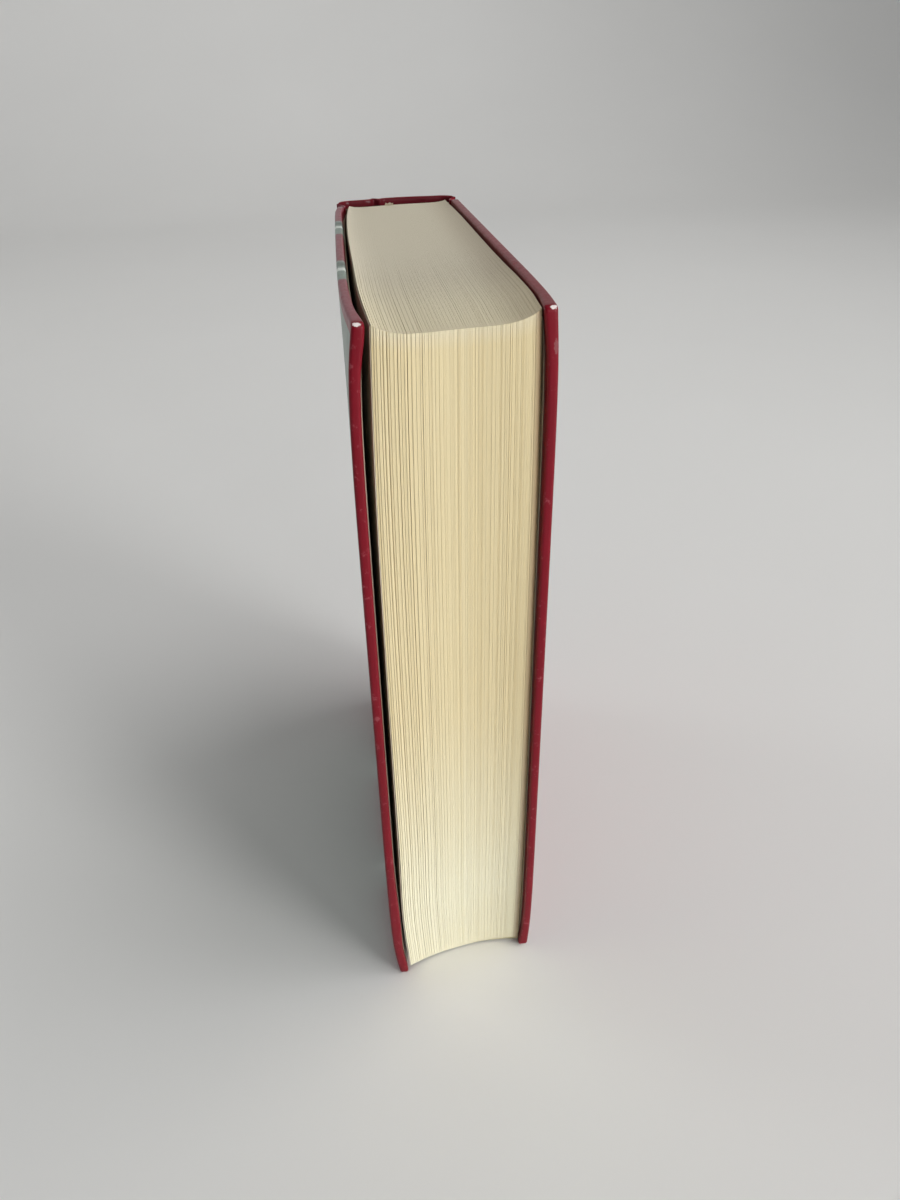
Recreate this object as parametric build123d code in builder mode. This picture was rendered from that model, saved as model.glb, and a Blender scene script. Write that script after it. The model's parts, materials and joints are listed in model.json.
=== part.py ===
from build123d import *
import os
from math import atan2, cos, degrees, hypot, radians, sin, tan

os.makedirs("parts", exist_ok=True)

# A case-bound book standing on its tail, in millimetres and degrees.
# +Z is up, +X runs from the front cover to the back cover, +Y runs from the fore edge to the spine.

# The case
book_height = 210.0
cover_width = 137.5  # hinge line to fore edge
spine_width = 39.6  # between the two hinge lines
spine_rise = 4.6  # how far the rounded spine stands out
slant = 4.6  # how far the back cover sits behind the front cover
splay = 0.75  # each cover's angle away from the block, seen from above
front_bow = 2.0  # how far a warped board bulges at the middle of its fore edge
back_bow = 1.0
front_swell = 1.5  # how far the outer leaves bulge along with it
back_swell = 1.0

# Boards, paper and glue
board_thickness = 1.9
cover_paper = 0.3
spine_card_thickness = 1.2
end_paper = 0.25
glue_gap = 0.05
turn_in = 15.0  # how far the cover paper is folded over inside
board_corner = 1.2  # rounding of the boards' outer corners
edge_round = 0.5  # rounding of the cover paper's folds

# The joint between spine and board
joint_width = 7.0
groove_depth = 2.2
hinge_gap = 0.3  # between pieces that move against each other
block_gap = 0.9  # between the endpapers at the joint

# The text block
head_square = 1.2  # the covers stand this far above the leaves
tail_square = 2.8
fore_square = 0.8
shoulder_depth = 3.0  # hinge line to the back of the outer leaves
front_gape = 0.2  # how much wider than at the joint the gap beside the block is at the fore edge
back_gape = -0.3
slump = 0.95  # how far the middle leaves have sunk, as an angle
back_round_share = 0.5  # rounding of the block's back, as a share of the spine's
lining_thickness = 0.4
lining_gap = 0.15  # the lining bridges the uneven edges of the leaves
lining_margin = 4.0  # the lining stops short of head and tail by this
pastedown_margin = 3.0  # the pastedown stops short of the cover's edges by this

overrun = 1.0  # how far a cut reaches past the face that it opens
leaf_shares = (0, 0.1, 0.25, 0.5, 0.75, 0.9, 1)  # places of the lofted leaves through the block
flyleaf_shares = (0, 0.25, 0.5, 0.75, 1)  # places of the sections along a flyleaf
lining_shares = (0.1, 0.3, 0.5, 0.7, 0.9)  # places of the leaves that the lining is drawn through
level_shares = (-1, -0.5, 0, 0.5, 1)  # levels of the lining's sections, from its middle to its ends

# Worked out from the sizes above
cover_thickness = cover_paper + board_thickness + cover_paper
leaf_height = book_height - head_square - tail_square
leaf_width = cover_width - shoulder_depth - fore_square
leaf_middle = tail_square + leaf_height / 2
leaf_heights = (tail_square, book_height - head_square)
fore_along = shoulder_depth + leaf_width
paper_inset = cover_paper + glue_gap
front_reach = slant / 2 + cover_width * cos(radians(splay)) + cover_thickness * sin(radians(splay))
chord = hypot(spine_width, slant)
spine_radius = chord**2 / (8 * spine_rise) + spine_rise / 2
spine_sag = spine_radius - spine_rise  # from the arc's centre to the chord
spine_reach = spine_radius - spine_sag * spine_width / chord
hinge_x = spine_width / 2
shift_x = (front_bow - back_bow) / 2
hinge_y = (front_reach - spine_reach) / 2
SIDES = {"front": -1, "back": 1}
BOWS = {"front": front_bow, "back": back_bow}
SWELLS = {"front": front_swell, "back": back_swell}
GAPES = {"front": front_gape, "back": back_gape}


def hinge(name):
    """Where a cover's hinge line meets the floor."""
    side = SIDES[name]
    return Vector(shift_x + side * hinge_x, hinge_y + side * slant / 2, 0)


def run(name):
    """Direction along a cover, from its hinge line to its fore edge."""
    return Vector(SIDES[name] * sin(radians(splay)), -cos(radians(splay)), 0)


def outward(name):
    """Direction square to a cover, away from the block."""
    return Vector(SIDES[name] * cos(radians(splay)), sin(radians(splay)), 0)


def layer_section(name, bow, along, depths, heights):
    """Section across a cover at a distance along it, between two depths in from its warped face."""
    outer, inner = depths
    low, high = heights
    middle = (low + high) / 2
    bulge = bow * (along - joint_width) / (cover_width - joint_width)

    def bowed(height):
        return bulge * (1 - (2 * height / book_height - 1) ** 2)

    pull = 2 * bowed(middle) - (bowed(low) + bowed(high)) / 2
    place = hinge(name) + run(name) * along
    across = Plane(place, x_dir=outward(name), z_dir=outward(name).cross(Vector(0, 0, 1)))
    with BuildSketch(across) as section:
        with BuildLine():
            face = Bezier((bowed(low) - outer, low), (pull - outer, middle), (bowed(high) - outer, high))
            back = Bezier((bowed(high) - inner, high), (pull - inner, middle), (bowed(low) - inner, low))
            Line(face @ 1, back @ 0)
            Line(back @ 1, face @ 0)
        make_face()
    return section.sketch


def cover_layer(name, ends, depths, heights):
    """The two sections that a layer of a cover is lofted between."""
    return [layer_section(name, BOWS[name], along, depths, heights) for along in ends]


def side_depth(name, along):
    """Depth of the block's side below a cover's face, which grows to the fore edge by the gape."""
    at_hinge = cover_thickness + 2 * end_paper + block_gap + glue_gap
    return at_hinge + GAPES[name] * (along - shoulder_depth) / leaf_width


def block_layer(name, ends, above, below, heights):
    """Sections of a layer that lies along the block's side, between two heights over that side."""
    return [
        layer_section(
            name,
            SWELLS[name],
            along,
            (side_depth(name, along) - above, side_depth(name, along) - below),
            heights,
        )
        for along in ends
    ]


def layer_outline(name, ends, heights, corner):
    """Outline of a layer seen square to its cover, with the corners at the fore edge rounded."""
    start, end = ends
    low, high = heights
    flat = Plane(hinge(name), x_dir=run(name), z_dir=run(name).cross(Vector(0, 0, 1)))
    with BuildSketch(flat) as outline:
        with Locations((end, low)):
            Rectangle(end - start, high - low, align=(Align.MAX, Align.MIN))
        fillet(outline.vertices().sort_by(Axis((0, 0, 0), run(name)))[-2:], corner)
    return outline.sketch


def leaf_plane(share):
    """The plane of one leaf: origin halfway up its spine edge, x to the fore edge, y up."""
    spine_edge, fore_edge = Vector(0, 0, leaf_middle), Vector(0, 0, leaf_middle)
    for name, weight in (("front", 1 - share), ("back", share)):
        back = hinge(name) + run(name) * shoulder_depth
        front = back + run(name) * leaf_width
        spine_edge += (back - outward(name) * side_depth(name, shoulder_depth)) * weight
        fore_edge += (front - outward(name) * (side_depth(name, fore_along) - SWELLS[name])) * weight
    x_dir = (fore_edge - spine_edge).normalized()
    rounding = back_round_share * spine_rise * (1 - (2 * share - 1) ** 2)
    return Plane(spine_edge - x_dir * rounding, x_dir=x_dir, z_dir=x_dir.cross(Vector(0, 0, 1)))


def leaf_tilt(share):
    """How far a leaf has sunk: the outer ones are held by the endpapers, the middle ones drop."""
    return -slump * (1 - (2 * share - 1) ** 4)


# Text block: lofted through a few leaves, which differ in place and tilt, with its sides swollen
# along with the boards
side_ends = (shoulder_depth - spine_rise, cover_width)
with BuildPart() as text_block:
    for share in leaf_shares:
        with BuildSketch(leaf_plane(share)):
            Rectangle(leaf_width, leaf_height, leaf_tilt(share), align=(Align.MIN, Align.CENTER))
    loft()
    for name in SIDES:
        loft(
            block_layer(name, side_ends, SWELLS[name] + overrun, 0, (-overrun, book_height)),
            ruled=True,
            mode=Mode.SUBTRACT,
        )
text_block.part.label = "text_block"
export_step(text_block.part, "parts/text_block.step")

# Spine lining, glued along the back of the block
lining_half = leaf_height / 2 - lining_margin


def back_points(height, depth):
    """Plan of the block's back at a height from its middle, through the leaves' spine edges."""
    points = []
    for share in lining_shares:
        lean = height * tan(radians(leaf_tilt(share)))
        points.append(leaf_plane(share).from_local_coords(Vector(-lean - depth, height, 0)))
    return points


with BuildPart() as spine_lining:
    for height in [lining_half * share for share in level_shares]:
        with BuildSketch(Plane.XY.offset(leaf_middle + height)):
            with BuildLine():
                glued = Spline([(p.X, p.Y) for p in back_points(height, lining_gap)])
                outer = Spline([(p.X, p.Y) for p in back_points(height, lining_gap + lining_thickness)])
                Line(glued @ 0, outer @ 0)
                Line(glued @ 1, outer @ 1)
            make_face()
    loft(ruled=True)
spine_lining.part.label = "spine_lining"
export_step(spine_lining.part, "parts/spine_lining.step")

# Flyleaves, against the outer leaves
leaf_ends = [shoulder_depth + leaf_width * share for share in flyleaf_shares]
for name in SIDES:
    with BuildPart() as flyleaf:
        loft(block_layer(name, leaf_ends, glue_gap + end_paper, glue_gap, leaf_heights), ruled=True)
    flyleaf.part.label = f"{name}_flyleaf"
    export_step(flyleaf.part, f"parts/{name}_flyleaf.step")

# Covers: a board, the paper wrapped round it and the pastedown inside
cover_reach = cover_thickness + front_bow + back_bow  # more than any layer stands out
slab_ends = (joint_width - 2 * overrun, cover_width + overrun)
slab_height = (-overrun, book_height + overrun)
paper_ends = (joint_width, cover_width)
full_depth = (0, cover_thickness)
full_height = (0, book_height)
pocket_ends = (joint_width - overrun, cover_width - cover_paper)
pocket_depth = (cover_paper, cover_thickness - cover_paper)
pocket_height = (cover_paper, book_height - cover_paper)
board_ends = (joint_width + glue_gap, cover_width - paper_inset)
board_depth = (paper_inset, cover_thickness - paper_inset)
board_height = (paper_inset, book_height - paper_inset)
window_ends = (joint_width - overrun, cover_width - turn_in)
window_depth = (cover_thickness - cover_paper - overrun, cover_thickness + overrun)
window_height = (turn_in, book_height - turn_in)
groove_start = (hinge_gap, 0)
groove_end = (joint_width, 0)
groove_middle = (hinge_gap + joint_width) / 2
groove_paper = 2 * cover_paper
pastedown_ends = (joint_width, cover_width - pastedown_margin)
pastedown_depth = (cover_thickness + glue_gap, cover_thickness + end_paper)
pastedown_height = (pastedown_margin, book_height - pastedown_margin)
sunk_ends = (joint_width, cover_width - turn_in - glue_gap)
sunk_depth = (cover_thickness - cover_paper, cover_thickness + (glue_gap + end_paper) / 2)
sunk_height = (turn_in + glue_gap, book_height - turn_in - glue_gap)

for name, side in SIDES.items():
    with BuildPart() as board:
        loft(cover_layer(name, slab_ends, board_depth, slab_height), ruled=True)
        outline = layer_outline(name, board_ends, board_height, board_corner)
        extrude(outline, amount=cover_reach, both=True, mode=Mode.INTERSECT)
    board.part.label = f"{name}_board"
    export_step(board.part, f"parts/{name}_board.step")

    with BuildPart() as pocket:
        loft(cover_layer(name, slab_ends, pocket_depth, slab_height), ruled=True)
        outline = layer_outline(name, pocket_ends, pocket_height, board_corner + glue_gap)
        extrude(outline, amount=cover_reach, both=True, mode=Mode.INTERSECT)

    with BuildPart() as paper:
        loft(cover_layer(name, slab_ends, full_depth, slab_height), ruled=True)
        outline = layer_outline(name, paper_ends, full_height, board_corner + paper_inset)
        extrude(outline, amount=cover_reach, both=True, mode=Mode.INTERSECT)
        layers = paper.faces().sort_by(Axis((0, 0, 0), outward(name)))
        joint_face = paper.faces().sort_by(Axis((0, 0, 0), run(name)))[0]
        fillet(layers[0].edges() + layers[-1].edges() - joint_face.edges(), edge_round)
        add(pocket.part, mode=Mode.SUBTRACT)
        loft(cover_layer(name, window_ends, window_depth, window_height), ruled=True, mode=Mode.SUBTRACT)
        with BuildSketch(Plane(hinge(name), x_dir=run(name), z_dir=Vector(0, 0, 1))):
            with BuildLine():
                groove = ThreePointArc(groove_start, (groove_middle, -side * groove_depth), groove_end)
                under = ThreePointArc(
                    (joint_width, -side * groove_paper),
                    (groove_middle, -side * (groove_depth + groove_paper)),
                    (hinge_gap, -side * groove_paper),
                )
                Line(groove @ 1, under @ 0)
                Line(under @ 1, groove @ 0)
            make_face()
        extrude(amount=book_height)
    paper.part.label = f"{name}_cover_paper"
    export_step(paper.part, f"parts/{name}_cover_paper.step")

    with BuildPart() as pastedown:
        loft(cover_layer(name, pastedown_ends, pastedown_depth, pastedown_height), ruled=True)
        loft(cover_layer(name, sunk_ends, sunk_depth, sunk_height), ruled=True)
    pastedown.part.label = f"{name}_pastedown"
    export_step(pastedown.part, f"parts/{name}_pastedown.step")

# Spine: a rounded card in a skin of the cover paper
card_depth = cover_paper + spine_card_thickness
spine_thickness = card_depth + cover_paper
chord_angle = degrees(atan2(slant, spine_width))
chord_middle = Vector(shift_x, hinge_y, 0)
behind = Vector(-slant, spine_width, 0) / chord
spine_centre = chord_middle - behind * spine_sag


def spine_band(outer, inner, end_depth, low):
    """Plan of a layer of the spine between two depths, cut straight across behind the hinge lines."""
    with BuildSketch(Plane.XY.offset(low)) as band:
        with Locations(spine_centre):
            Circle(spine_radius - outer)
            Circle(spine_radius - inner, mode=Mode.SUBTRACT)
        with Locations(chord_middle + behind * end_depth):
            Rectangle(chord, spine_rise, chord_angle, align=(Align.CENTER, Align.MIN), mode=Mode.INTERSECT)
    return band.sketch


with BuildPart() as spine_card:
    extrude(
        spine_band(paper_inset, card_depth - glue_gap, paper_inset, paper_inset),
        amount=book_height - 2 * paper_inset,
    )
spine_card.part.label = "spine_card"
export_step(spine_card.part, "parts/spine_card.step")

with BuildPart() as spine_paper:
    extrude(spine_band(0, spine_thickness, 0, 0), amount=book_height)
    extrude(
        spine_band(cover_paper, card_depth, cover_paper, cover_paper),
        amount=book_height - 2 * cover_paper,
        mode=Mode.SUBTRACT,
    )
    extrude(
        spine_band(card_depth - overrun, spine_thickness + overrun, 0, turn_in),
        amount=book_height - 2 * turn_in,
        mode=Mode.SUBTRACT,
    )
spine_paper.part.label = "spine_paper"
export_step(spine_paper.part, "parts/spine_paper.step")
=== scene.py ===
import json
import math

import bmesh
import bpy
import numpy as np
from mathutils import Matrix, Vector


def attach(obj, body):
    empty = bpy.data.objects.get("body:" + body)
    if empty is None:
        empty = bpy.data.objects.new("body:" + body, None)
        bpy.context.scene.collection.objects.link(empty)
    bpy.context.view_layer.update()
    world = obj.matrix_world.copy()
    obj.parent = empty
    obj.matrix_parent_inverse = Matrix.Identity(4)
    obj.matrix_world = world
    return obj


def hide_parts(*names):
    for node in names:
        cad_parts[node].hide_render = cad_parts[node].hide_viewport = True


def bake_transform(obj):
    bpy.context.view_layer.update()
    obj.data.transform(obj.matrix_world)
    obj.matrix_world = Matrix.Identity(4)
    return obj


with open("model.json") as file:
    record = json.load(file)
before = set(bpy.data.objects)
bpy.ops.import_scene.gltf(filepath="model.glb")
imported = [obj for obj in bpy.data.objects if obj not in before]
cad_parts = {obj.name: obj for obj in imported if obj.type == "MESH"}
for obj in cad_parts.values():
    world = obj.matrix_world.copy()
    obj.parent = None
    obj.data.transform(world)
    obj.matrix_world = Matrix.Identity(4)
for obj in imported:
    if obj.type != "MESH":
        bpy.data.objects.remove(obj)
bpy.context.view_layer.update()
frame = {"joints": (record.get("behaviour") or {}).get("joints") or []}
rng = np.random.default_rng(11)
MM = 0.001  # sizes are in millimetres, and Blender's unit is the metre

# The case and the block, as the solids have them
HEIGHT, WIDTH, THICK = 210.0, 137.5, 2.5  # of a cover
SPINE_WIDTH, RISE = 39.6, 4.6  # the rise is that of its round back
SLANT = 4.6  # how far the back hinge line lies behind the front one
SPLAY = math.radians(0.75)  # of each cover
JOINT, GROOVE = 7.0, 2.2  # width of a joint and depth of its groove
TURN_IN = 15.0
TAIL_SQUARE, HEAD_SQUARE, FORE_SQUARE = 2.8, 1.2, 0.8  # how far the covers stand past the block
SHOULDER = 3.0  # from the hinge lines to the block
LEAF_WIDTH = WIDTH - SHOULDER - FORE_SQUARE
LEAF_HEIGHT = HEIGHT - TAIL_SQUARE - HEAD_SQUARE
LEAF_MIDDLE = TAIL_SQUARE + LEAF_HEIGHT / 2
SLUMP = math.radians(0.95)  # how far the middle leaves lean
BACK_ROUND = 0.5 * RISE
BLOCK_GAP = 1.45  # from a cover's inner plane to the block, at its shoulder
SIDES = {"front": -1, "back": 1}
BOWS = {"front": 1.98, "back": 0.98}  # how far a cover's fore edge stands out
SWELLS = {"front": 1.5, "back": 1.0}  # how far the block's side follows it
GAPES = {"front": 0.2, "back": -0.3}  # how much wider the gap is at the fore edge

# How each cover has warped further, which the solids leave out
CURL_SIZE, DROP_SIZE = 12, 6  # reach of the curl and of the drop at a fore corner
CURL_STRETCH = {"front": 1.6, "back": 1.0}  # how much further both reach along the cover
CORNER_DROP = {"front": 0.3, "back": 0.1}
RISE_POWER = {"front": 0.6, "back": 1.0}  # shape of the bow from the joint to the fore edge
END_EASE = {"front": 0.15, "back": 0.05}  # share of the bow that head and tail lack
FLARE = {"front": 0.52, "back": 0.0}  # how far head and tail stand out besides

# The inner faces of the covers
STEP, STEP_LINE = 0.3, 0.4  # half the slope at a turn-in's edge, and the grid lines beside it
PANEL_SINK = 0.28  # from the turn-ins down to the bare board
FOLD_WEDGE, FOLD_SIZE = 0.65, 11.5  # the folded paper inside a corner: its thickness and reach
PINCH = {"front": 0.35, "back": 0.0}  # how much thinner head and tail are pressed
PINCH_SIZE = 2.5
BOARD_BULGE, BOARD_BULGE_REACH = 0.7, 12  # of the front board, low at its fore edge
BOARD_BULGE_PLACE = (25, 15)  # its middle height and its width
JOINT_PAPER = 0.55  # thickness at the joint

# How the block's sides have swollen besides
SWELL_START = 5  # distance along a cover
BELLY = {"front": 1.85, "back": 0.6}
BULGE = {"front": 0.4, "back": 0.6}  # near the fore edge
BULGE_PLACE = {"front": (0.8, 0.14), "back": (0.84, 0.14)}  # middle and width, as shares
FOOT_BULGE = 0.7  # of the front side, low at the fore edge
FOOT_BULGE_PLACE = (26, 20)  # its middle height and its width

# Leaves, lining and endpapers
LEAF_COUNT = 245  # at least: the last bunch is finished
LINING_SHARES = (0.1, 0.9)  # its two edges, as shares of the block's thickness
LINING_THICK, LINING_OFF, LINING_SHORT = 0.35, 0.15, 4  # off the block's back, and short of its ends
TAB_RISE, TAB_RAG, TAB_LEAN = 4.8, 0.2, 1.6  # the lining's torn tab
PASTEDOWN_THICK, PASTEDOWN_OFF = 0.2, 0.03  # off the cover
FLYLEAF_THICK, FLYLEAF_OFF = 0.14, 0.06  # off the block's side
FLYLEAF_SHORT = {"front": 0, "back": 1.2}  # of the fore edge
FLYLEAF_LIFT = {"front": 0.2, "back": 0.03}
FLYLEAF_PHASE = {"front": 0.4, "back": 2.1}  # of the waves in its fore edge
FOLD_THICK = 0.12
FOLD_PATH = np.array([
    (6.0, 3.6), (4.4, 3.6), (3.0, 3.6), (2.4, 3.47), (1.85, 3.2),
    (1.4, 2.8), (1.05, 2.3), (0.82, 1.85), (0.72, 1.6),
])  # an endpaper's fold, as distances along the cover and depths

# Print and spine
BANDS = ((34.5, 52.5), (86.5, 105.5))  # on the front cover, as distances from the hinge line
SPINE_INSET = 0.02  # keeps the spine inside the solids' box
SPINE_EDGE_THICK, SPINE_MORE_THICK = 0.3, 1.1  # at the hinge lines, and how much more between them
SPINE_SINK = 0.25  # from the turn-ins down to the card
SPINE_CREASE = ((-1.0, 0.325, 0.02), (0.55, 0.37, 0.022))  # how far in, then middle and width as shares
SPINE_SHOULDERS = ((1.6, 0.09, 0.09), (1.1, 0.9, 0.08))  # how far out, then the same
CREASE_LENGTH = 26  # down from the head

HINGES = {j["child"].split("_")[0]: np.array(j["pos_m"][:2]) * 1000 for j in frame["joints"]}


# Shape helpers

def run(name):
    return np.array([SIDES[name] * math.sin(SPLAY), -math.cos(SPLAY)])


def outward(name):
    return np.array([SIDES[name] * math.cos(SPLAY), math.sin(SPLAY)])


def smooth(x, low, high):
    t = np.clip((np.asarray(x, float) - low) / (high - low), 0, 1)
    return t * t * (3 - 2 * t)


def hump(x, middle, width):
    return np.exp(-(((x - middle) / width) ** 2))


def humps(x, rows):
    return sum(size * hump(x, middle, width) for size, middle, width in rows)


def past_turn_in(distance):
    return smooth(distance, TURN_IN - STEP, TURN_IN + STEP)


def place(name, along, depth, height):
    """Points at a distance along a cover, a depth below its outer plane and a height, in millimetres."""
    along, depth, height = np.broadcast_arrays(*(np.asarray(v, float) for v in (along, depth, height)))
    plan = HINGES[name] + along[..., None] * run(name) - depth[..., None] * outward(name)
    return np.concatenate([plan, height[..., None]], -1)


def warp(name, along, height):
    """How far a cover's board stands out of its plane: bowed out, with its fore corners curled back in."""
    along, height = np.asarray(along, float), np.asarray(height, float)
    reach = np.clip((along - JOINT) / (WIDTH - JOINT), 0, 1)
    curl, drop = 0, 0
    for corner in (0, HEIGHT):
        gap = np.hypot((WIDTH - along) / CURL_STRETCH[name], height - corner)
        curl = curl + np.exp(-((gap / CURL_SIZE) ** 1.2))
        drop = drop + CORNER_DROP[name] * hump(gap, 0, DROP_SIZE)
    rise = reach ** RISE_POWER[name]
    level = np.abs(2 * height / HEIGHT - 1)
    upright = 1 - level ** 3 * END_EASE[name]
    flare = FLARE[name] * level ** 4 * smooth(reach, 0, 0.06) * (1 - 0.7 * smooth(reach, 0.72, 1))
    return BOWS[name] * rise * upright * (1 - np.clip(curl, 0, 1)) - drop + flare


def side_depth(name, along):
    return THICK + BLOCK_GAP + GAPES[name] * (np.asarray(along, float) - SHOULDER) / LEAF_WIDTH


def side_swell(name, along, height):
    """How far the block's side stands out: along with the board, and fuller behind the fore edge."""
    along, height = np.asarray(along, float), np.asarray(height, float)
    level = np.abs(2 * height / HEIGHT - 1)
    swell = SWELLS[name] * (along - JOINT) / (WIDTH - JOINT) * (1 - level ** 3)
    u = np.clip((along - SWELL_START) / (SHOULDER + LEAF_WIDTH - SWELL_START), 0, 1)
    if name == "front":
        belly, pressed = np.sin(math.pi * u ** 0.75) ** 0.8, 0
        foot = hump(height, *FOOT_BULGE_PLACE) * smooth(u, 0.3, 1) * FOOT_BULGE
    else:
        belly, pressed = smooth(u, 0, 0.2), 0.7 * smooth(u, 0.9, 1)
        foot = 0
    full = (BELLY[name] * belly + BULGE[name] * hump(u, *BULGE_PLACE[name])) * (1 - pressed)
    return swell + full * (0.6 + 0.4 * level ** 2) + foot


def block_point(share, along, height):
    """A point of the block, between its front side (share 0) and its back side (share 1)."""
    sides = [place(n, along, side_depth(n, along) - side_swell(n, along, height), height) for n in SIDES]
    share = np.asarray(share, float)[..., None]
    return sides[0] * (1 - share) + sides[1] * share


def leaf_point(share, u, v):
    """A point of one leaf: u from its spine edge, v from its middle height, with the leaf's own sag."""
    share, u, v = np.broadcast_arrays(*(np.asarray(x, float) for x in (share, u, v)))
    tilt = -SLUMP * (1 - (2 * share - 1) ** 4)
    rounding = BACK_ROUND * (1 - (2 * share - 1) ** 2)
    along = SHOULDER - rounding + u * np.cos(tilt) - v * np.sin(tilt)
    height = LEAF_MIDDLE + u * np.sin(tilt) + v * np.cos(tilt)
    return block_point(share, along, height)


def build(name, points, faces, layers=None, shade_smooth=False):
    """A mesh object from points in millimetres, with named values on its points."""
    mesh = bpy.data.meshes.new(name)
    mesh.from_pydata((np.asarray(points) * MM).tolist(), [], [list(map(int, f)) for f in faces])
    for key, values in (layers or {}).items():
        values = np.asarray(values, np.float32)
        if values.ndim == 1:
            mesh.attributes.new(key, "FLOAT", "POINT").data.foreach_set("value", values)
        else:
            mesh.attributes.new(key, "FLOAT_VECTOR", "POINT").data.foreach_set("vector", values.ravel())
    solid = bmesh.new()
    solid.from_mesh(mesh)
    bmesh.ops.recalc_face_normals(solid, faces=solid.faces)
    solid.to_mesh(mesh)
    solid.free()
    if shade_smooth:
        mesh.shade_smooth()
    obj = bpy.data.objects.new(name, mesh)
    bpy.context.scene.collection.objects.link(obj)
    return obj


def strip(first, second, closed=False):
    """Quads between two rows of point numbers."""
    count = len(first)
    last = count if closed else count - 1
    return [(first[i], first[(i + 1) % count], second[(i + 1) % count], second[i]) for i in range(last)]


def sheet(name, across, upright, surface, thickness):
    """A thin closed sheet on a grid. surface(a, b, depth) gives the points of one face of it."""
    a, b = np.meshgrid(across, upright, indexing="ij")
    rows, cols = a.shape
    points = np.concatenate([surface(a, b, d).reshape(-1, 3) for d in (0.0, thickness)])
    ids = np.arange(rows * cols).reshape(rows, cols)
    faces = []
    for k in (0, 1):
        grid = ids + k * rows * cols
        for i in range(rows - 1):
            faces += strip(grid[i], grid[i + 1])
    rim = np.concatenate([ids[0, :], ids[1:, -1], ids[-1, -2::-1], ids[-2:0:-1, 0]])
    faces += strip(rim, rim + rows * cols, closed=True)
    values = {"lay": np.tile(np.stack([a.ravel(), b.ravel(), 0 * a.ravel()], -1), (2, 1))}
    return build(name, points, faces, values)


# Shader helpers

def srgb(red, green, blue):
    """A colour given on the usual 0 to 255 scale, as the linear values that a shader takes."""
    def linear(c):
        return ((c / 255 + 0.055) / 1.055) ** 2.4 if c > 10 else c / 255 / 12.92

    return linear(red), linear(green), linear(blue), 1


class Shader:
    """A material with short calls for the nodes that the looks below use."""

    def __init__(self, name):
        self.material = bpy.data.materials.new(name)
        self.material.use_nodes = True
        self.tree = self.material.node_tree
        self.bsdf = self.tree.nodes["Principled BSDF"]

    def put(self, socket, value):
        if isinstance(value, bpy.types.NodeSocket):
            self.tree.links.new(value, socket)
        else:
            socket.default_value = value

    def set(self, **values):
        for key, value in values.items():
            self.put(self.bsdf.inputs[key.replace("_", " ")], value)

    def math(self, operation, first, second=0.5, clamp=False):
        node = self.tree.nodes.new("ShaderNodeMath")
        node.operation, node.use_clamp = operation, clamp
        self.put(node.inputs[0], first)
        self.put(node.inputs[1], second)
        return node.outputs[0]

    def mix(self, factor, first, second):
        node = self.tree.nodes.new("ShaderNodeMix")
        node.data_type = "RGBA"
        self.put(node.inputs["Factor"], factor)
        self.put(node.inputs[6], first)
        self.put(node.inputs[7], second)
        return node.outputs[2]

    def ramp(self, value, low, high, to_low=0.0, to_high=1.0):
        node = self.tree.nodes.new("ShaderNodeMapRange")
        node.interpolation_type = "SMOOTHSTEP"
        for key, number in (("Value", value), ("From Min", low), ("From Max", high)):
            self.put(node.inputs[key], number)
        self.put(node.inputs["To Min"], to_low)
        self.put(node.inputs["To Max"], to_high)
        return node.outputs["Result"]

    def coordinates(self, scale=(1, 1, 1)):
        place_node = self.tree.nodes.new("ShaderNodeTexCoord")
        node = self.tree.nodes.new("ShaderNodeMapping")
        self.put(node.inputs["Vector"], place_node.outputs["Object"])
        self.put(node.inputs["Scale"], scale)
        return node.outputs["Vector"]

    def noise(self, vector, scale, detail=3.0, roughness=0.55):
        node = self.tree.nodes.new("ShaderNodeTexNoise")
        self.put(node.inputs["Vector"], vector)
        self.put(node.inputs["Scale"], scale)
        self.put(node.inputs["Detail"], detail)
        self.put(node.inputs["Roughness"], roughness)
        return node.outputs["Fac"]

    def value(self, name):
        node = self.tree.nodes.new("ShaderNodeAttribute")
        node.attribute_name = name
        return node.outputs["Fac"]

    def vector(self, name):
        node = self.tree.nodes.new("ShaderNodeAttribute")
        node.attribute_name = name
        parts = self.tree.nodes.new("ShaderNodeSeparateXYZ")
        self.put(parts.inputs[0], node.outputs["Vector"])
        return parts.outputs[0], parts.outputs[1], parts.outputs[2]

    def bump(self, height, strength, distance):
        node = self.tree.nodes.new("ShaderNodeBump")
        self.put(node.inputs["Height"], height)
        self.put(node.inputs["Strength"], strength)
        self.put(node.inputs["Distance"], distance)
        self.put(self.bsdf.inputs["Normal"], node.outputs["Normal"])

    def inside(self, value, low, high, soft=0.15):
        """1 between two limits, with a soft edge."""
        return self.math(
            "MULTIPLY",
            self.ramp(value, low - soft, low + soft),
            self.ramp(value, high - soft, high + soft, 1.0, 0.0),
        )


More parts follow.
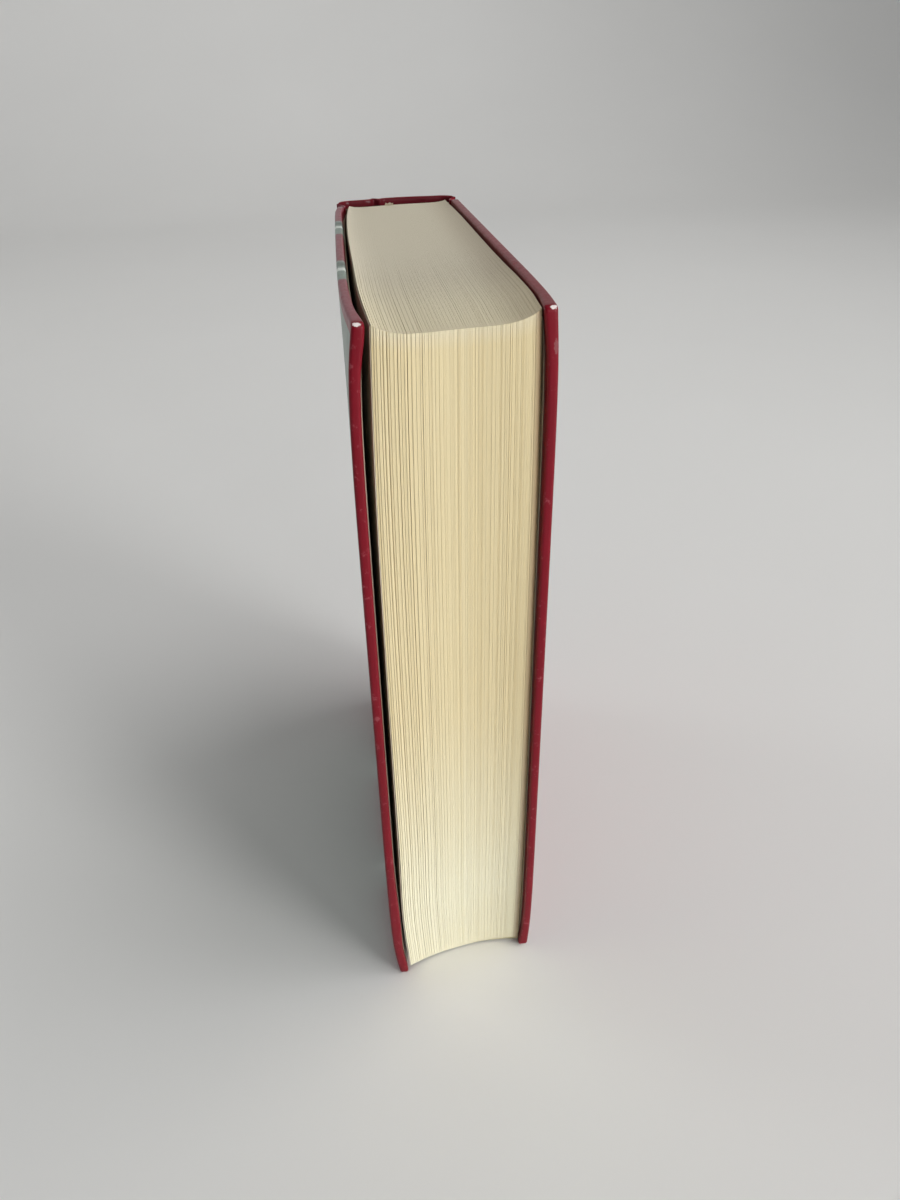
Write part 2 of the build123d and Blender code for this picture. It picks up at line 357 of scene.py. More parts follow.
def leaves_material():
    """Cream book paper cut flush: each leaf has its own tone, with dust on the head. Painted light besides:
    lighter low down as if lit by floor bounce, painted shade in the gaps, and the back cover's painted
    shadow.
    """
    s = Shader("book_paper")
    spot = s.coordinates()
    # Painted light: the leaves are lighter low down, as if lit by light bounced up off the floor
    upper_tone = s.mix(s.value("tone"), srgb(214, 196, 152), srgb(236, 222, 182))
    bounce_lit_tone = s.mix(s.value("tone"), srgb(230, 224, 195), srgb(247, 243, 217))
    colour = s.mix(s.ramp(s.value("level"), 0.1, 0.55), bounce_lit_tone, upper_tone)
    patches = s.ramp(s.noise(spot, 28.0), 0.35, 0.7)
    colour = s.mix(s.math("MULTIPLY", patches, 0.1), colour, srgb(222, 204, 158))
    fibre = s.noise(s.coordinates((1.0, 1.0, 0.3)), 2600.0, 4.0, 0.7)
    colour = s.mix(s.math("MULTIPLY", s.ramp(fibre, 0.4, 0.75), 0.15), colour, srgb(226, 209, 166))
    dust = s.value("dust")
    dusted = s.mix(s.ramp(dust, 0.55, 1.0), srgb(230, 224, 204), srgb(213, 205, 185))
    colour = s.mix(s.math("MULTIPLY", dust, 0.92), colour, dusted)
    # Painted shadow of the back cover on the leaves beside it
    colour = s.mix(s.math("MULTIPLY", s.value("back_cover_shadow"), 0.75), colour, srgb(138, 106, 78))
    # Painted shade in the gaps between bunches of leaves
    gaps = s.math("MULTIPLY", s.value("gap_shade"), s.ramp(dust, 0.0, 1.0, 0.95, 0.38))
    colour = s.mix(gaps, colour, srgb(126, 98, 60))
    s.set(Base_Color=colour, Roughness=s.ramp(fibre, 0.2, 0.8, 0.82, 0.95), Specular_IOR_Level=0.25)
    s.bump(fibre, 0.18, 0.0002)
    return s.material


def endpaper_material():
    """Plain uncoated endpaper, a little yellowed, with faint fibres, and darker towards the head: painted
    shade of the narrow gaps beside the block.
    """
    s = Shader("endpaper")
    spot = s.coordinates()
    colour = s.mix(s.ramp(s.noise(spot, 18.0), 0.3, 0.75), srgb(233, 224, 203), srgb(224, 211, 182))
    fibre = s.noise(s.coordinates((1.0, 1.0, 0.35)), 1300.0, 5.0, 0.7)
    colour = s.mix(s.math("MULTIPLY", s.ramp(fibre, 0.45, 0.8), 0.35), colour, srgb(208, 193, 160))
    # Painted shade: darker towards the head, where the endpapers lie in the gaps beside the block
    endpaper_head_shade = s.ramp(s.vector("lay")[1], HEIGHT - 30, HEIGHT - 2)
    colour = s.mix(s.math("MULTIPLY", endpaper_head_shade, 0.5), colour, srgb(112, 88, 64))
    s.set(Base_Color=colour, Roughness=s.ramp(fibre, 0.2, 0.8, 0.8, 0.94), Specular_IOR_Level=0.25)
    s.bump(fibre, 0.2, 0.0002)
    return s.material


def lining_material():
    """Greyish lining paper with a crossed weave pressed into it by the glue."""
    s = Shader("lining_paper")
    threads = [s.noise(s.coordinates(scale), 900.0) for scale in ((1, 1, 0.05), (0.05, 0.05, 1))]
    weave = s.math("MULTIPLY", *threads)
    colour = s.mix(s.ramp(weave, 0.12, 0.4), srgb(172, 163, 145), srgb(206, 198, 180))
    s.set(Base_Color=colour, Roughness=0.9, Specular_IOR_Level=0.2)
    s.bump(weave, 0.4, 0.0003)
    return s.material


def cover_material(name, corner_wear, printed=False, inside=None):
    """Glossy laminate over crimson print, scuffed at the rims and worn white at the corners, with a painted
    sheen on the printed cover's top edge and painted shade on inside faces when given.
    """
    s = Shader(name)
    spot = s.coordinates()
    along, height, depth = s.vector("lay")
    rim = s.value("rim")
    mottle = s.noise(spot, 60.0)
    colour = s.mix(s.ramp(mottle, 0.3, 0.75), srgb(117, 10, 27), srgb(126, 12, 31))
    if printed:
        face = s.ramp(depth, 0.02, 0.12, 1.0, 0.0)
        panel = s.math("MULTIPLY", s.inside(along, 13.0, WIDTH - 1.6), s.inside(height, 4.0, HEIGHT - 2.6))
        panel = s.math("MULTIPLY", panel, face)
        streaks = s.ramp(s.noise(s.coordinates((1, 1, 0.3)), 22.0), 0.3, 0.7)
        wash = s.mix(streaks, srgb(112, 128, 119), srgb(134, 148, 138))
        colour = s.mix(panel, colour, wash)
        # Painted sheen: the front cover's top edge is tinted mauve, as a reflection of the pale wall would
        # look
        top_edge = s.ramp(height, HEIGHT - 1.3, HEIGHT - 0.5)
        dust_and_sheen = s.math("MULTIPLY", top_edge, s.ramp(along, WIDTH - 1.5, WIDTH - 3.0))
        colour = s.mix(s.math("MULTIPLY", dust_and_sheen, 0.3), colour, srgb(160, 110, 122))
        wavy = s.math("ADD", along, s.math("MULTIPLY", s.noise(spot, 45.0, 2.0, 0.4), 5.0))
        wavy = s.math("ADD", wavy, s.math("MULTIPLY", s.noise(spot, 420.0, 2.0, 0.4), 2.0))
        for low, high in BANDS:
            width = high - low
            colour = s.mix(s.inside(wavy, low, high, 0.8), colour, srgb(128, 143, 132))
            for start, end, tint in ((0.1, 0.34, srgb(92, 108, 98)), (0.44, 0.6, srgb(214, 220, 212))):
                stripe = s.inside(wavy, low + start * width, low + end * width, 0.5)
                colour = s.mix(stripe, colour, tint)
    # Painted shade: inside faces take the darker colour given, for the shade of a hollow
    if inside:
        colour = s.mix(s.ramp(depth, 0.55, 0.9), colour, inside)
    grain = s.noise(spot, 420.0, 4.0, 0.65)
    scuff = s.math("MULTIPLY", s.ramp(grain, 0.58, 0.72), rim)
    colour = s.mix(s.math("MULTIPLY", scuff, 0.3), colour, srgb(196, 118, 126))
    chips = s.noise(spot, 1300.0, 3.0, 0.6)
    white = 0.0
    for at_along, at_height, at_depth, reach_size, depth_size, strength in corner_wear:
        away = [s.math("SUBTRACT", along, at_along), s.math("SUBTRACT", height, at_height)]
        away = s.math("ADD", s.math("POWER", away[0], 2.0), s.math("POWER", away[1], 2.0))
        away = s.math("DIVIDE", s.math("SQRT", away), reach_size)
        sunk = s.math("MULTIPLY", s.math("SUBTRACT", depth, at_depth), THICK / depth_size)
        away = s.math("SQRT", s.math("ADD", s.math("POWER", away, 2.0), s.math("POWER", sunk, 2.0)))
        away = s.math("ADD", away, s.math("MULTIPLY", s.math("SUBTRACT", chips, 0.5), 2.2))
        white = s.math("MAXIMUM", white, s.ramp(away, 0.8, 1.1, strength, 0.0))
    colour = s.mix(white, colour, srgb(238, 230, 226))
    scratch = s.noise(s.coordinates((1.0, 1.0, 0.04)), 700.0, 3.0, 0.7)
    rough = s.ramp(scratch, 0.3, 0.75, 0.3, 0.42)
    dull = s.math("MAXIMUM", white, scuff)
    if inside:
        dull = s.math("MAXIMUM", dull, s.ramp(depth, 0.55, 0.9))
    rough = s.math("ADD", rough, s.math("MULTIPLY", dull, 0.4), clamp=True)
    s.set(Base_Color=colour, Roughness=rough, Specular_IOR_Level=0.15, Coat_Weight=0.15, Coat_Roughness=0.1)
    s.bump(s.math("ADD", s.math("MULTIPLY", grain, 0.5), s.math("MULTIPLY", white, -0.7)), 0.25, 0.0002)
    return s.material


# The text block, leaf by leaf

def leaf_columns():
    """Places of the leaves and of the gaps between them through the block, with each one's own offsets."""
    parting, loose = [], []
    while len(parting) < LEAF_COUNT:
        bunch = int(rng.integers(3, 7))
        parting += [False] * (bunch - 1) + [True]
        loose += [rng.uniform(0.8, 1.1)] * bunch
    count = len(parting)
    parting = np.array(parting)
    loose = np.array(loose) * (1 - 0.66 * smooth(np.arange(count) / count, 0.12, 0.42))
    width = rng.uniform(0.9, 1.1, count)
    gap = np.where(parting, rng.uniform(0.8, 1.7, count) * loose, rng.uniform(0.04, 0.1, count))
    pace = np.concatenate([[0], np.cumsum(width + gap)])
    total = pace[-1] - gap[-1]
    starts, ends = pace[:-1] / total, (pace[:-1] + width) / total
    deep = np.where(
        parting,
        rng.uniform(0.3, 0.6, count) * (0.5 + 0.5 * loose),
        rng.uniform(0.02, 0.06, count),
    )
    # How dark each gap's painted shade is
    shade = np.where(
        parting,
        rng.uniform(0.45, 1.0, count) * (0.35 + 0.65 * loose),
        rng.uniform(0.0, 0.2, count),
    )
    fore = rng.normal(0, 0.03, count)
    head = rng.normal(0, 0.012, count)
    drift = 0.12 * np.cos(2 * math.pi * (starts - 0.4)) + 0.06 * np.sin(np.arange(count) / 9.0)
    tone = np.clip(0.6 + drift + rng.normal(0, 0.07, count), 0, 1)
    share, sink, dark, leaf = [], [], [], []
    for i in range(count):
        share += [starts[i], ends[i]]
        sink += [0.0, 0.0]
        dark += [0.0, 0.0]
        leaf += [i, i]
        if i < count - 1:
            share.append((ends[i] + starts[i + 1]) / 2)
            sink.append(deep[i])
            dark.append(shade[i])
            leaf.append(i)
    leaf = np.array(leaf)
    return np.array(share), np.array(sink), np.array(dark), fore[leaf], head[leaf], tone[leaf]


def make_leaves():
    """All leaves as one closed mesh: a ring of points round each leaf's edges, and the two outer sides."""
    share, sink, dark, fore, head, tone = leaf_columns()
    ups = np.concatenate([[0, 0.3], np.linspace(4, LEAF_HEIGHT - 4, 25), [LEAF_HEIGHT - 0.3, LEAF_HEIGHT]])
    ins = np.concatenate([[0, 0.25], np.linspace(5, LEAF_WIDTH - 5, 11), [LEAF_WIDTH - 0.25, LEAF_WIDTH]])
    tall, deep = len(ups), len(ins)
    ones = np.ones
    zeros = 0 * ins[1:-1]
    ring_u = np.concatenate([ones(tall) * LEAF_WIDTH, ins[-2:0:-1], ones(tall) * 0, ins[1:-1]])
    ring_v = np.concatenate([ups, ones(deep - 2) * LEAF_HEIGHT, ups[::-1], ones(deep - 2) * 0])
    at_fore = np.concatenate([ones(tall), zeros, 0 * ups, zeros])
    at_head = (ring_v == LEAF_HEIGHT).astype(float)
    at_tail = (ring_v == 0).astype(float)
    at_back = (ring_u == 0).astype(float)
    spill = np.interp(ups, [LEAF_HEIGHT - 4, LEAF_HEIGHT], [0, 0.5])
    dust_and_sheen = np.concatenate([spill, ones(deep - 2), 0 * ups, zeros])
    closed = np.where(dust_and_sheen == 1, 0.08 + 0.92 * smooth(ring_u, 0.5 * LEAF_WIDTH, 0.92 * LEAF_WIDTH), 1.0)
    dust_and_sheen = np.where(dust_and_sheen == 1, 1 - 0.45 * smooth(ring_u, LEAF_WIDTH - 50, LEAF_WIDTH), dust_and_sheen)
    on_head = (dust_and_sheen > 0.5).astype(float)
    flush = 0.55 * np.abs(2 * share - 1) ** 9
    s = share[:, None]
    drift = 0.0006 * np.sin(ring_v / 31.0 + 7 * s)
    drawn = 0.6 * smooth(share, 0.35, 1)
    u = ring_u + at_fore * (fore - sink - drawn)[:, None] + at_back * 0.3 * sink[:, None]
    v = ring_v + at_head * flush[:, None] + at_tail * (0.5 * head + sink * 0.6)[:, None]
    v = v + at_head * closed * (head - sink * 0.4)[:, None]
    inner = np.clip(4 * s * (1 - s) * 8, 0, 1)
    points = leaf_point(np.clip(s + drift * inner, 0, 1), u, v - LEAF_HEIGHT / 2)
    columns, ring = points.shape[:2]
    ids = np.arange(columns * ring).reshape(columns, ring)
    faces = []
    for c in range(columns - 1):
        faces += strip(ids[c], ids[c + 1], closed=True)
    # Painted shadow of the back cover: on the last leaves' fore edges and, fainter, on the head beside it
    back_cover_shadow = at_fore * smooth(share, 0.94, 1)[:, None] + 0.3 * on_head * smooth(share, 0.7, 1)[:, None]
    layers = {
        "tone": np.repeat(tone, ring),
        "level": points[..., 2].ravel() / HEIGHT,
        "back_cover_shadow": back_cover_shadow.ravel(),
        "gap_shade": (dark[:, None] * closed * (1 - 0.5 * on_head)).ravel(),
        "dust": (ones(columns)[:, None] * dust_and_sheen).ravel(),
    }
    points = points.reshape(-1, 3)
    for c in (0, columns - 1):
        side = np.zeros((tall, deep), int)
        side[:, -1] = ids[c, :tall]
        side[-1, 1:-1] = ids[c, tall:tall + deep - 2][::-1]
        side[:, 0] = ids[c, tall + deep - 2:2 * tall + deep - 2][::-1]
        side[0, 1:-1] = ids[c, 2 * tall + deep - 2:]
        b, a = np.meshgrid(ups[1:-1], ins[1:-1], indexing="ij")
        fill = leaf_point(share[c], a, b - LEAF_HEIGHT / 2).reshape(-1, 3)
        side[1:-1, 1:-1] = len(points) + np.arange(len(fill)).reshape(tall - 2, deep - 2)
        points = np.concatenate([points, fill])
        flat = {"tone": 0.7, "level": fill[:, 2] / HEIGHT, "back_cover_shadow": 0.0, "gap_shade": 0.0, "dust": 0.0}
        for key, number in flat.items():
            layers[key] = np.concatenate([layers[key], np.zeros(len(fill)) + number])
        for j in range(tall - 1):
            faces += strip(side[j], side[j + 1])
    return build("leaves", points, faces, layers)


# The covers

def cover_grid(corner):
    """Grid lines of a cover's face. The last cells at the fore edge are rounded off at head and tail."""
    bend = np.linspace(0, 1, 6)
    along = [(a, 0) for a in np.linspace(0, JOINT, 13)] + [(JOINT + 0.12, 0)]
    along += [(a, 0) for a in np.linspace(JOINT + 2, WIDTH - TURN_IN - 2, 22)]
    along += [(WIDTH - TURN_IN - STEP_LINE, 0), (WIDTH - TURN_IN + STEP_LINE, 0)]
    along += [(WIDTH - a, 0) for a in (12, 9, 6.5, 4.2)]
    along += [(WIDTH - corner, b) for b in bend]
    ends = [2.6, 4.2, 6.5, 9.5, 12.5, TURN_IN - STEP_LINE, TURN_IN + STEP_LINE, 20]
    heights = [(corner, -b) for b in bend[::-1]] + [(h, 0) for h in ends]
    heights += [(h, 0) for h in np.linspace(26, HEIGHT - 26, 24)]
    heights += [(HEIGHT - h, 0) for h in ends[::-1]] + [(HEIGHT - corner, b) for b in bend]
    return np.array(along), np.array(heights)


def outer_depth(along):
    return np.where(along < JOINT, GROOVE * (1 - (2 * along / JOINT - 1) ** 2), 0.0)


def inner_depth(name, along, height):
    """Inner face of a cover: thin paper at the joint, and on the board a panel sunk inside the turn-ins."""
    window = past_turn_in(WIDTH - along) * past_turn_in(height) * past_turn_in(HEIGHT - height)
    fold = 0
    for corner in (0, HEIGHT):
        fold = fold + np.clip(1 - (WIDTH - along + np.abs(height - corner)) / FOLD_SIZE, 0, 1)
    pinch = hump(np.minimum(height, HEIGHT - height), 0, PINCH_SIZE)
    board = THICK - PANEL_SINK * window + FOLD_WEDGE * fold - PINCH[name] * pinch
    if name == "front":
        near = np.clip(1 - (WIDTH - along) / BOARD_BULGE_REACH, 0, 1)
        board = board + BOARD_BULGE * hump(height, *BOARD_BULGE_PLACE) * near
    return np.where(along <= JOINT, outer_depth(along) + JOINT_PAPER, board)


def make_cover(name):
    """Board and paper of one cover as one closed mesh, with rounded folds and the joint's groove."""
    round_edge, corner = 0.75, 1.35
    worn = (0.5, 0.8, 1.0, 0.9)
    turns = [math.radians(angle) for angle in (22.5, 45, 67.5, 90)]
    along, heights = cover_grid(corner)
    inner_corner = corner - round_edge
    a = along[:, 1][:, None]
    b = heights[:, 1][None, :]
    x = along[:, 0][:, None] + inner_corner * a * np.sqrt(1 - b * b / 2)
    z = heights[:, 0][None, :] + inner_corner * b * np.sqrt(1 - a * a / 2)
    cols, rows = x.shape
    grid = np.arange(cols * rows).reshape(cols, rows)
    x, z = x.ravel(), z.ravel()
    edge = np.concatenate([grid[:, 0], grid[-1, 1:], grid[-2::-1, -1]])
    head = np.concatenate([np.full(cols, -1.0), heights[1:, 1], np.full(cols - 1, 1.0)])
    fore = np.concatenate([along[:, 1], np.ones(rows - 1), along[-2::-1, 1]])
    middle = np.where(z[edge] > HEIGHT / 2, HEIGHT - corner, corner)
    turned = np.stack([x[edge] - (WIDTH - corner), z[edge] - middle], -1)
    straight = np.stack([np.where(np.abs(head) < 1, 1.0, 0.0), np.where(np.abs(head) == 1, head, 0.0)], -1)
    at_corner = (fore > 0) & (head != 0)
    normal = np.where(at_corner[:, None], turned, straight)
    normal = normal / np.linalg.norm(normal, axis=1)[:, None]

    out, ins = outer_depth(x), inner_depth(name, x, z)
    plan, depth, deep, rim = [np.stack([x, z], -1)], [out], [0 * x], [0 * x]
    reach = np.minimum(round_edge, (ins - out)[edge] * 0.46)
    room = np.minimum(reach * (0.75 + 0.4 * normal[:, 0] ** 2), (ins - out)[edge] * 0.47)
    for turn in turns:
        plan.append(np.stack([x[edge], z[edge]], -1) + normal * (reach * math.sin(turn))[:, None])
        depth.append(out[edge] + room * (1 - math.cos(turn)))
    for turn in turns[::-1]:
        plan.append(np.stack([x[edge], z[edge]], -1) + normal * (reach * math.sin(turn))[:, None])
        depth.append(ins[edge] - room * (1 - math.cos(turn)))
    count = 2 * len(turns)
    for k in range(count):
        deep.append((depth[k + 1] - out[edge]) / (ins - out)[edge])
        rim.append(np.full(len(edge), worn[min(k, count - 1 - k)]))
    plan.append(np.stack([x, z], -1))
    depth.append(ins)
    deep.append(0 * x + 1)
    rim.append(0 * x)

    starts = np.cumsum([0] + [len(d) for d in depth])
    rings = [starts[k + 1] + np.arange(len(edge)) for k in range(count)]
    rings = [edge] + rings + [starts[count + 1] + edge]
    faces = []
    for k in (0, count + 1):
        for i in range(cols - 1):
            faces += strip(grid[i] + starts[k], grid[i + 1] + starts[k])
    for first, second in zip(rings, rings[1:]):
        faces += strip(first, second)
    low = [r[0] for r in rings]
    high = [r[-1] for r in rings]
    hinge_rows = [grid[0] + starts[0], grid[0] + starts[count + 1]]
    faces += strip(hinge_rows[0], hinge_rows[1])
    faces.append(low)
    faces.append(high)

    plan, depth, deep, rim = (np.concatenate(v) for v in (plan, depth, deep, rim))
    points = place(name, plan[:, 0], depth - warp(name, plan[:, 0], plan[:, 1]), plan[:, 1])
    lay = np.stack([plan[:, 0], plan[:, 1], deep], -1)
    return build(f"{name}_cover", points, faces, {"lay": lay, "rim": rim}, shade_smooth=True)


def make_pastedown(name):
    """The glued half of the endpaper, over the inside of the board and on into the joint."""
    along = np.concatenate([
        np.linspace(0.7, JOINT, 10),
        [JOINT + 0.12],
        np.linspace(JOINT + 1.5, WIDTH - TURN_IN - 2, 18),
        [WIDTH - TURN_IN - STEP_LINE, WIDTH - TURN_IN + STEP_LINE],
        WIDTH - np.array([12, 9, 6, 3]),
    ])
    ends = np.array([3, 6, 9, 12, TURN_IN - STEP_LINE, TURN_IN + STEP_LINE, 20])
    heights = np.concatenate([ends, np.linspace(26, HEIGHT - 26, 20), HEIGHT - ends[::-1]])

    def surface(a, b, depth):
        return place(name, a, inner_depth(name, a, b) + PASTEDOWN_OFF + depth - warp(name, a, b), b)

    return sheet(f"{name}_pastedown_sheet", along, heights, surface, PASTEDOWN_THICK)


def make_flyleaf(name):
    """The free half of the endpaper, lifted a little off the block at its fore edge."""
    along = SHOULDER + np.linspace(0, LEAF_WIDTH - FLYLEAF_SHORT[name], 24)
    heights = np.linspace(TAIL_SQUARE, HEIGHT - HEAD_SQUARE + 0.3, 30)

    def surface(a, b, depth):
        out = smooth(a, 50, WIDTH) ** 1.5
        wave = FLYLEAF_LIFT[name] * out * (0.55 + 0.45 * np.sin(b / 37.0 + FLYLEAF_PHASE[name]))
        return place(name, a, side_depth(name, a) - side_swell(name, a, b) - FLYLEAF_OFF - wave - depth, b)

    return sheet(f"{name}_flyleaf_sheet", along, heights, surface, FLYLEAF_THICK)


def make_fold(name):
    """The endpaper's fold, which bridges the joint from the block's shoulder to the inside of the cover."""
    step = np.arange(len(FOLD_PATH))
    fine = np.linspace(0, len(FOLD_PATH) - 1, 25)
    heights = np.linspace(TAIL_SQUARE + 0.5, HEIGHT - HEAD_SQUARE - 0.5, 12)

    def surface(a, b, depth):
        along = np.interp(a, step, FOLD_PATH[:, 0])
        down = np.interp(a, step, FOLD_PATH[:, 1])
        return place(name, along, down + depth, b)

    return sheet(f"{name}_endpaper_fold", fine, heights, surface, FOLD_THICK)


# The spine

CHORD = math.hypot(SPINE_WIDTH, SLANT)
RADIUS = CHORD ** 2 / (8 * RISE) + RISE / 2
HALF_ANGLE = math.asin(CHORD / 2 / RADIUS)
BEHIND = np.array([-SLANT, SPINE_WIDTH]) / CHORD
ACROSS = np.array([SPINE_WIDTH, SLANT]) / CHORD
CENTRE = (HINGES["front"] + HINGES["back"]) / 2 - BEHIND * (RADIUS - RISE)


def spine_place(share, inward, height):
    """Points on the spine: share 0 at the front hinge line, 1 at the back one, under its outer face."""
    share, inward, height = np.broadcast_arrays(*(np.asarray(v, float) for v in (share, inward, height)))
    angle = (2 * share - 1) * HALF_ANGLE
    reach = RADIUS - inward
    sideways, back = reach * np.sin(angle), reach * np.cos(angle)
    plan = CENTRE + sideways[..., None] * ACROSS + back[..., None] * BEHIND
    return np.concatenate([plan, height[..., None]], -1)


def spine_crease(share, height):
    """How far in the spine is bent: its shoulders stand out, and its pulled head has a ridge and a dent."""
    fade = smooth(height, HEIGHT - CREASE_LENGTH, HEIGHT - 1)
    full = humps(share, SPINE_SHOULDERS) * smooth(share, 0, 0.05) * smooth(1 - share, 0, 0.05)
    return fade * humps(share, SPINE_CREASE) - full


def make_spine():
    """Card and paper of the spine as one closed mesh, rounded over at head and tail."""
    by_hinges = [0.004, 0.012, 0.988, 0.996]
    shares = np.unique(np.concatenate([np.linspace(0, 1, 33), np.linspace(0.26, 0.44, 24), by_hinges]))
    edge = 0.5
    turns = ((30, 0), (60, 0), (90, 0), (90, 1), (60, 1), (30, 1))
    count = len(turns)
    low = np.array([edge, 2, 4, 8, 12, TURN_IN - STEP_LINE, TURN_IN + STEP_LINE, 22])
    heights = np.concatenate([low, np.linspace(34, HEIGHT - 34, 12), HEIGHT - low[::-1]])
    thick = SPINE_EDGE_THICK + SPINE_MORE_THICK * smooth(np.minimum(shares, 1 - shares), 0.0, 0.05)
    s, z = np.meshgrid(shares, heights, indexing="ij")
    window = past_turn_in(z) * past_turn_in(HEIGHT - z)
    thickness = thick[:, None] - SPINE_SINK * window * smooth(np.minimum(s, 1 - s), 0.02, 0.06)
    cols, rows = s.shape
    grid = np.arange(cols * rows).reshape(cols, rows)
    zeros = 0 * s.ravel()
    shares_all, inward, height, deep, rim = [s.ravel()], [zeros], [z.ravel()], [zeros], [zeros]
    room = np.minimum(edge, thick * 0.46)
    for end, sign in ((0, -1), (-1, 1)):
        for k, (angle, back) in enumerate(turns):
            turn = math.radians(angle)
            sunk = room * (1 - math.cos(turn))
            shares_all.append(shares)
            inward.append(thick - sunk if back else sunk)
            height.append(heights[end] + sign * room * math.sin(turn))
            deep.append(np.full(cols, (k + 1) / (count + 1)))
            rim.append(np.full(cols, 0.9))
    shares_all.append(s.ravel())
    inward.append(thickness.ravel())
    height.append(z.ravel())
    deep.append(np.ones(cols * rows))
    rim.append(zeros)
    starts = np.cumsum([0] + [len(v) for v in shares_all])
    inner = grid + starts[1 + 2 * count]
    faces = []
    for i in range(cols - 1):
        faces += strip(grid[i], grid[i + 1]) + strip(inner[i], inner[i + 1])
    loops = []
    for e, end in enumerate((0, -1)):
        rings = [starts[1 + count * e + k] + np.arange(cols) for k in range(count)]
        rings = [grid[:, end]] + rings + [inner[:, end]]
        for first, second in zip(rings, rings[1:]):
            faces += strip(first, second)
        loops.append(rings)
    for i in (0, -1):
        low_ring = [r[i] for r in loops[0]]
        high_ring = [r[i] for r in loops[1]]
        faces.append(low_ring + list(inner[i, 1:]) + high_ring[::-1][1:] + list(grid[i, 1:-1][::-1]))
    share, inward, height, deep, rim = (np.concatenate(v) for v in (shares_all, inward, height, deep, rim))
    points = spine_place(share, inward + spine_crease(share, height) + SPINE_INSET, height)
    lay = np.stack([share * CHORD, height, deep], -1)
    return build("spine", points, faces, {"lay": lay, "rim": rim}, shade_smooth=True)


def make_lining():
    """The lining glued over the block's back, with a torn tab that stands past the head and leans in."""
    share = np.unique(np.concatenate([np.linspace(*LINING_SHARES, 50), np.linspace(0.34, 0.5, 30)]))
    levels = np.concatenate([np.linspace(0, 0.97, 14), np.linspace(0.975, 1, 9)])

    def surface(a, b, depth):
        tab = smooth(a, 0.35, 0.372) * smooth(1 - a, 0.53, 0.552)
        top = LEAF_HEIGHT / 2 - LINING_SHORT + tab * (TAB_RISE + TAB_RAG * np.sin(a * 140))
        level = LINING_SHORT - LEAF_HEIGHT / 2 + b * (top + LEAF_HEIGHT / 2 - LINING_SHORT)
        lean = TAB_LEAN * smooth(level, LEAF_HEIGHT / 2 - 0.2, LEAF_HEIGHT / 2 + 1.2) ** 0.7
        return leaf_point(a, -LINING_OFF - depth + lean, level)

    return sheet("spine_lining_sheet", share, levels, surface, LINING_THICK)


# All pieces, with what they replace and the bodies that they ride on

leaves = make_leaves()
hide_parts("text_block")
leaves.data.materials.append(leaves_material())
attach(leaves, "block")

endpaper = endpaper_material()
# Worn spots: distance along, height, depth share, reach, depth size and strength
wear = {
    "front": [(WIDTH - 0.25, HEIGHT - 0.25, 0.45, 0.5, 1.0, 0.95), (WIDTH - 0.3, 0.3, 0.4, 0.4, 0.7, 0.8)],
    "back": [
        (WIDTH - 0.3, HEIGHT - 0.2, 0.3, 0.6, 0.7, 0.85),
        (WIDTH, HEIGHT - 8.5, 0.25, 1.6, 0.5, 0.08),
        (WIDTH - 0.3, 0.3, 0.4, 0.4, 0.7, 0.8),
    ],
}
for name in SIDES:
    body = f"{name}_cover"
    cover = make_cover(name)
    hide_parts(f"{name}_cover_paper", f"{name}_board")
    cover.data.materials.append(cover_material(f"{name}_laminate", wear[name], printed=name == "front"))
    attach(cover, body)
    pastedown = make_pastedown(name)
    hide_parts(f"{name}_pastedown")
    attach(pastedown, body)
    flyleaf = make_flyleaf(name)
    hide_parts(f"{name}_flyleaf")
    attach(flyleaf, "block")
    fold = make_fold(name)
    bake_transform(fold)
    for piece in (pastedown, flyleaf, fold):
        piece.data.materials.append(endpaper)

spine = make_spine()
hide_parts("spine_paper", "spine_card")
# The spine's inside is painted darker: painted shade of the hollow behind the block's back
spine.data.materials.append(cover_material("spine_laminate", [], inside=srgb(88, 9, 22)))
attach(spine, "block")

lining = make_lining()
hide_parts("spine_lining")
lining.data.materials.append(lining_material())
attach(lining, "block")


# Floor, light and camera

def make_floor():
    """A pale floor that bends up into a wall."""
    front, flat, radius, top, half_width = -4000, 1200, 900, 4000, 5000
    turn = np.linspace(0, math.pi / 2, 24)
    bend = [(flat + radius * math.sin(t), radius - radius * math.cos(t)) for t in turn]
    profile = [(front, 0)] + bend + [(flat + radius, top)]
    points = [(x, y, z) for y, z in profile for x in (-half_width, half_width)]
    faces = [(2 * i, 2 * i + 1, 2 * i + 3, 2 * i + 2) for i in range(len(profile) - 1)]
    floor = build("floor", points, faces, shade_smooth=True)
    s = Shader("floor_pale")
    tone = s.noise(s.coordinates(), 3.0)
    s.set(Base_Color=s.mix(tone, srgb(232, 231, 228), srgb(238, 237, 234)), Roughness=0.75)
    floor.data.materials.append(s.material)


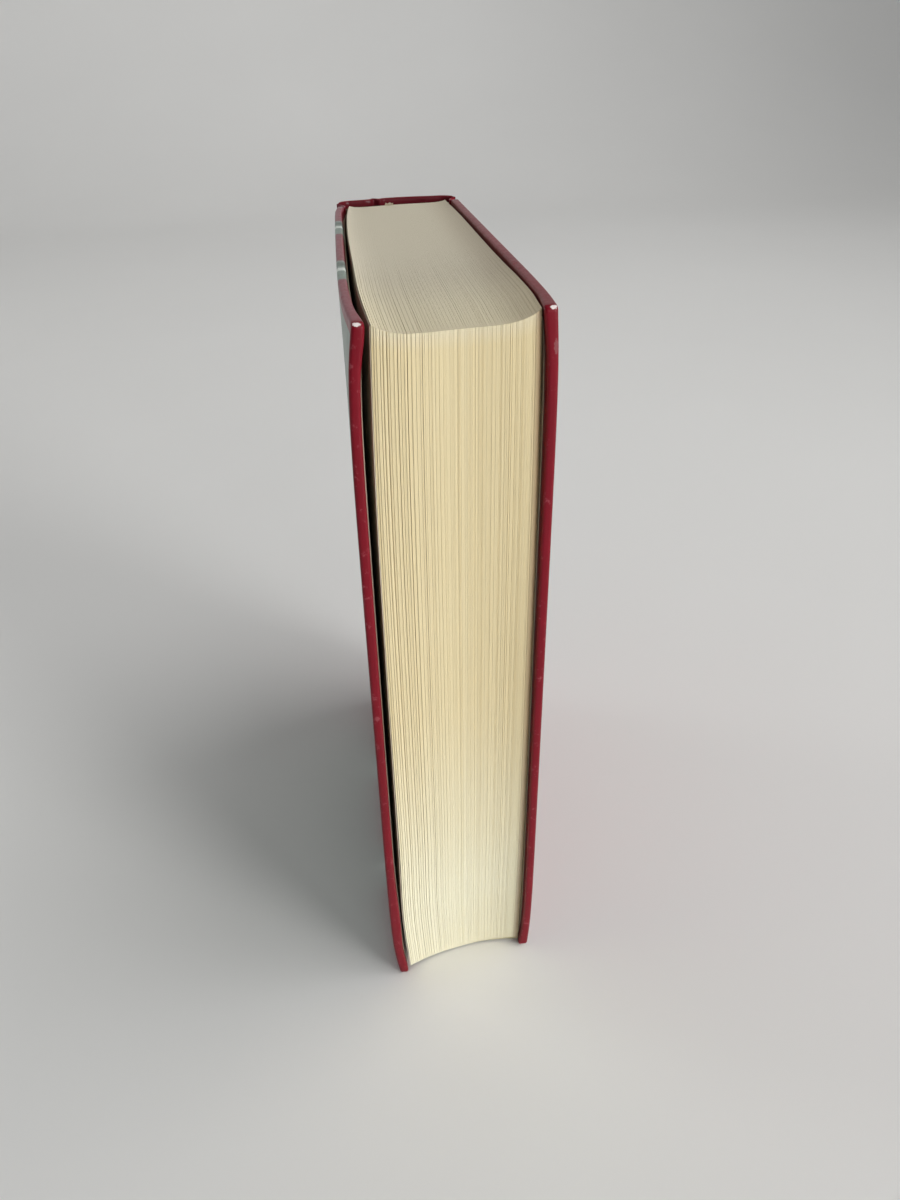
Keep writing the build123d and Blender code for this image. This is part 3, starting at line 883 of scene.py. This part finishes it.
def make_light(name, location, target, size, power, spread=180):
    """A round area light. Places and size are in metres, the power in watts and the spread in degrees."""
    lamp = bpy.data.lights.new(name, "AREA")
    lamp.shape, lamp.size, lamp.energy, lamp.spread = "DISK", size, power, math.radians(spread)
    obj = bpy.data.objects.new(name, lamp)
    bpy.context.scene.collection.objects.link(obj)
    obj.location = location
    obj.rotation_euler = (Vector(target) - Vector(location)).to_track_quat("-Z", "Y").to_euler()


def make_world():
    world = bpy.data.worlds.new("studio")
    bpy.context.scene.world = world
    world.use_nodes = True
    back = world.node_tree.nodes["Background"]
    back.inputs["Color"].default_value = srgb(236, 240, 245)
    back.inputs["Strength"].default_value = 0.16


def make_camera():
    """The camera that was fitted to the photo: its place, its three angles and its lens."""
    stand = (-0.02513, -0.24982, 0.26025)
    yaw, pitch, roll = 0.12750662, 0.5792595, -0.01943823
    ahead = np.array([math.sin(yaw) * math.cos(pitch), math.cos(yaw) * math.cos(pitch), -math.sin(pitch)])
    right = np.array([math.cos(yaw), -math.sin(yaw), 0])
    up = np.cross(right, ahead)
    cos_roll, sin_roll = math.cos(roll), math.sin(roll)
    right, up = cos_roll * right + sin_roll * up, cos_roll * up - sin_roll * right
    camera = bpy.data.cameras.new("camera")
    camera.lens = 26.81
    camera.sensor_width = 36.0
    camera.clip_start = 0.01
    obj = bpy.data.objects.new("camera", camera)
    bpy.context.scene.collection.objects.link(obj)
    turn = Matrix(np.stack([right, up, -ahead], -1).tolist()).to_4x4()
    obj.matrix_world = Matrix.Translation(stand) @ turn
    bpy.context.scene.camera = obj


make_floor()
make_world()
make_light("key", (1.75, -1.75, 0.6), (0, 0, 0.12), 1.1, 5.4, 60)
make_light("fill", (0.35, -1.6, 0.6), (0, 0, 0.1), 1.0, 4)
make_light("side", (-1.7, 0.8, 0.4), (0, 0, 0.1), 0.6, 0.8, 60)
make_light("top", (0.7, -0.1, 1.45), (0, 0, 0.2), 0.9, 8.6)
make_light("wall", (0, 0.7, 1.7), (0, 2.1, 1.0), 1.4, 9)
make_camera()
bpy.context.scene.view_settings.view_transform = "Standard"
